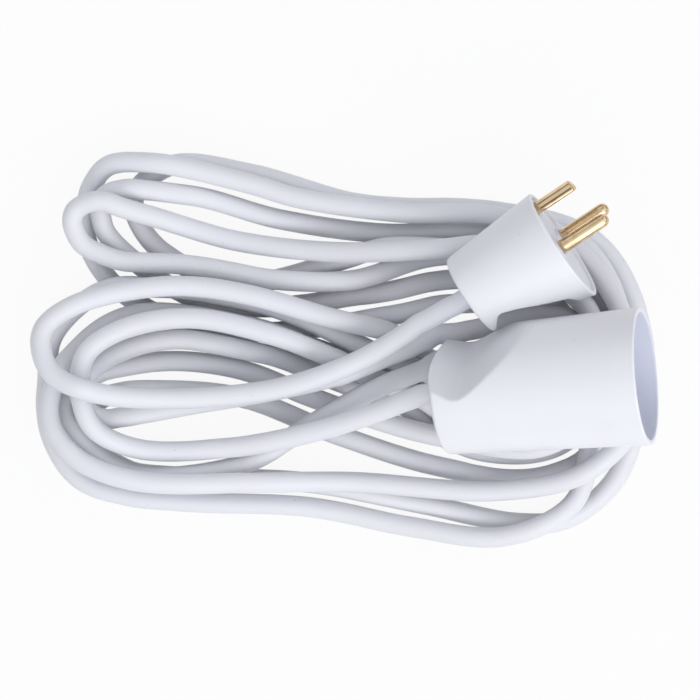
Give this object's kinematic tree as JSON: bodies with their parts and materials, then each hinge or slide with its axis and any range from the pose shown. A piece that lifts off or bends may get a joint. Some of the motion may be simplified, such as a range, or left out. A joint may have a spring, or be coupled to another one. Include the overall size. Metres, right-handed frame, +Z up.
{
  "type": "extension cord",
  "caption": "White earthed extension cord lying in a flat hank of long loops, with a round three-pin plug at one end and a round deep-recess coupler at the other.",
  "frame": {"origin": "on the floor, under the middle of the whole bundle's box", "axes": "+Z up; +X along the bundle, towards the end where the plug's pins and the coupler's mouth point; +Y across it, to the plug's side"},
  "size_m": [0.2172, 0.138, 0.0783],
  "materials": {
    "white_pvc": "soft satin",
    "white_plastic": "satin",
    "pale_plastic": "matt",
    "brass": "bright",
    "steel": "zinc plated",
    "brown_core": "satin",
    "blue_core": "satin",
    "green_yellow_core": "satin"
  },
  "bodies": {
    "lead": {"cord": "white_pvc", "plug_sheath_end": "white_pvc", "coupler_sheath_end": "white_pvc", "plug_cover": "white_plastic", "plug_base": "white_plastic", "plug_cord_grip": "white_plastic", "coupler_cover": "white_plastic", "coupler_face": "white_plastic", "coupler_cord_grip": "white_plastic", "coupler_base": "pale_plastic", "line_pin": "brass", "neutral_pin": "brass", "earth_pin": "brass", "line_contact": "brass", "neutral_contact": "brass", "earth_contact": "brass", "plug_line_screw": "steel", "plug_neutral_screw": "steel", "plug_earth_screw": "steel", "plug_grip_screw_1": "steel", "plug_grip_screw_2": "steel", "plug_line_core": "brown_core", "plug_neutral_core": "blue_core", "plug_earth_core": "green_yellow_core", "coupler_line_screw": "steel", "coupler_neutral_screw": "steel", "coupler_earth_screw": "steel", "coupler_grip_screw_1": "steel", "coupler_grip_screw_2": "steel", "coupler_line_core": "brown_core", "coupler_neutral_core": "blue_core", "coupler_earth_core": "green_yellow_core", "shutter_spring": "steel"},
    "shutter": {"shutter": "pale_plastic"}
  },
  "joints": [
    {"name": "shutter_slide", "type": "slide", "parent": "lead", "child": "shutter", "axis": [-0.207, 0.86, 0.4665], "range_m": [0, 0.0062], "stiffness_N_per_m": 300, "deforming": ["shutter_spring"]}
  ]
}
